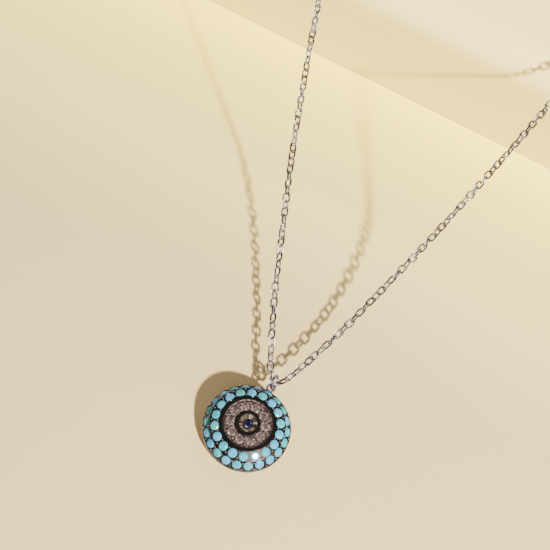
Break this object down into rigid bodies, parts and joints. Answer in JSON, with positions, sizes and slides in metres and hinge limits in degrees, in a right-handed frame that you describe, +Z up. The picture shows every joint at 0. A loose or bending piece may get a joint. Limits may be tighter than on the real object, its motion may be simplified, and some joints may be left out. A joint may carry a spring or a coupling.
{
  "type": "evil eye pendant on a chain",
  "caption": "Domed round evil eye charm with rows of pave-set turquoise, black collars and a blue centre stone, on a fine chain.",
  "frame": {"origin": "the top of the chain's loop, at the middle of the clasp's ring, where the necklace lies on the nape or hangs on a hook", "axes": "+Z up, the pendant's face looks along -Y and slightly down, +X to the right of who looks at the face"},
  "size_m": [0.0844, 0.0055, 0.2167],
  "materials": {
    "silver": "polished silver, oxidised between the stones",
    "chain_silver": "polished silver, flattened links",
    "black_enamel": "black, glossy",
    "turquoise": "opaque, polished, faceted",
    "clear_stone": "clear, faceted",
    "blue_stone": "dark blue, faceted"
  },
  "bodies": {
    "necklace": {"chain_left": "chain_silver", "chain_right": "chain_silver", "clasp": "silver", "end_ring": "silver"},
    "bail": {"bail": "silver"},
    "pendant": {"setting": "silver", "black_ring_outer": "black_enamel", "black_ring_inner": "black_enamel", "blue_stone": "blue_stone", "clear_stones": "clear_stone", "turquoise_outer_01": "turquoise", "turquoise_outer_02": "turquoise", "turquoise_outer_03": "turquoise", "turquoise_outer_04": "turquoise", "turquoise_outer_05": "turquoise", "turquoise_outer_06": "turquoise", "turquoise_outer_07": "turquoise", "turquoise_outer_08": "turquoise", "turquoise_outer_09": "turquoise", "turquoise_outer_10": "turquoise", "turquoise_outer_11": "turquoise", "turquoise_outer_12": "turquoise", "turquoise_outer_13": "turquoise", "turquoise_outer_14": "turquoise", "turquoise_outer_15": "turquoise", "turquoise_outer_16": "turquoise", "turquoise_outer_17": "turquoise", "turquoise_outer_18": "turquoise", "turquoise_outer_19": "turquoise", "turquoise_outer_20": "turquoise", "turquoise_outer_21": "turquoise", "turquoise_outer_22": "turquoise", "turquoise_inner_01": "turquoise", "turquoise_inner_02": "turquoise", "turquoise_inner_03": "turquoise", "turquoise_inner_04": "turquoise", "turquoise_inner_05": "turquoise", "turquoise_inner_06": "turquoise", "turquoise_inner_07": "turquoise", "turquoise_inner_08": "turquoise", "turquoise_inner_09": "turquoise", "turquoise_inner_10": "turquoise", "turquoise_inner_11": "turquoise", "turquoise_inner_12": "turquoise", "turquoise_inner_13": "turquoise", "turquoise_inner_14": "turquoise", "turquoise_inner_15": "turquoise", "turquoise_inner_16": "turquoise", "turquoise_inner_17": "turquoise", "turquoise_inner_18": "turquoise"}
  },
  "joints": [
    {"name": "bail_swing", "type": "hinge", "parent": "necklace", "child": "bail", "pos_m": [0.016, 0, -0.198], "axis": [1, 0, 0], "range_deg": [-60, 60]},
    {"name": "pendant_sway", "type": "hinge", "parent": "bail", "child": "pendant", "pos_m": [0.016, 0, -0.19936], "axis": [0, 1, 0], "range_deg": [-40, 40]}
  ]
}
